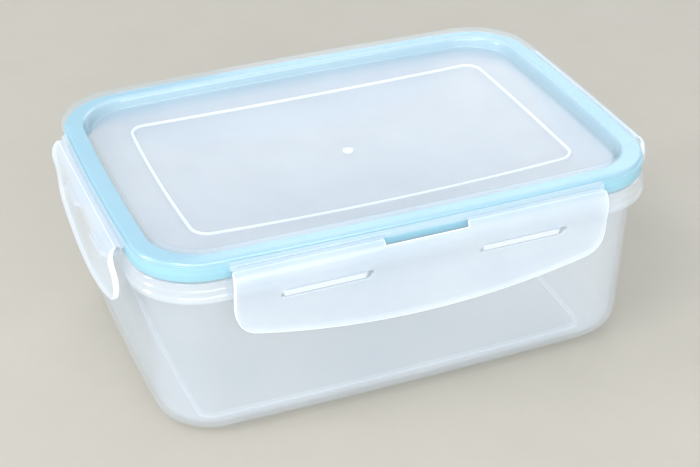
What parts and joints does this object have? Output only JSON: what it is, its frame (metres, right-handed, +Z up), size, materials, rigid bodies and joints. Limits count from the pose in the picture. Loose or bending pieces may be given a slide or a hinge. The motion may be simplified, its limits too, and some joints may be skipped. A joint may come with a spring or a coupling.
{
  "type": "snap lid food container",
  "caption": "Rectangular translucent food box with a rim seal, a recessed stacking lid and hinged clip flaps that snap over catches on the tub.",
  "frame": {"origin": "middle of the footprint, on the surface that the box stands on", "axes": "+Z up, +X along the long side, -Y towards the front flap; the lid is on, and the flaps hang just short of their catches"},
  "size_m": [0.214, 0.154, 0.081],
  "materials": {
    "tub_plastic": "translucent polypropylene, smooth",
    "lid_plastic": "translucent polypropylene, satin panel and smooth crown",
    "flap_plastic": "translucent polypropylene, milky",
    "seal_rubber": "matt light blue silicone"
  },
  "bodies": {
    "tub": {"tub": "tub_plastic"},
    "lid": {"lid": "lid_plastic", "seal": "seal_rubber", "hinge_web_front_a": "flap_plastic", "hinge_web_front_b": "flap_plastic", "hinge_web_back_a": "flap_plastic", "hinge_web_back_b": "flap_plastic", "hinge_web_left": "flap_plastic", "hinge_web_right": "flap_plastic"},
    "flap_front": {"flap_front": "flap_plastic"},
    "flap_back": {"flap_back": "flap_plastic"},
    "flap_left": {"flap_left": "flap_plastic"},
    "flap_right": {"flap_right": "flap_plastic"}
  },
  "joints": [
    {"name": "lid_lift", "type": "slide", "parent": "tub", "child": "lid", "axis": [0, 0, 1], "range_m": [0, 0.1]},
    {"name": "flap_front_hinge", "type": "hinge", "parent": "lid", "child": "flap_front", "pos_m": [0, -0.0731, 0.0769], "axis": [-1, 0, 0], "range_deg": [-8, 125]},
    {"name": "flap_back_hinge", "type": "hinge", "parent": "lid", "child": "flap_back", "pos_m": [0, 0.0731, 0.0769], "axis": [1, 0, 0], "range_deg": [-8, 125]},
    {"name": "flap_left_hinge", "type": "hinge", "parent": "lid", "child": "flap_left", "pos_m": [-0.1031, 0, 0.0769], "axis": [0, 1, 0], "range_deg": [-8, 125]},
    {"name": "flap_right_hinge", "type": "hinge", "parent": "lid", "child": "flap_right", "pos_m": [0.1031, 0, 0.0769], "axis": [0, -1, 0], "range_deg": [-8, 125]}
  ]
}
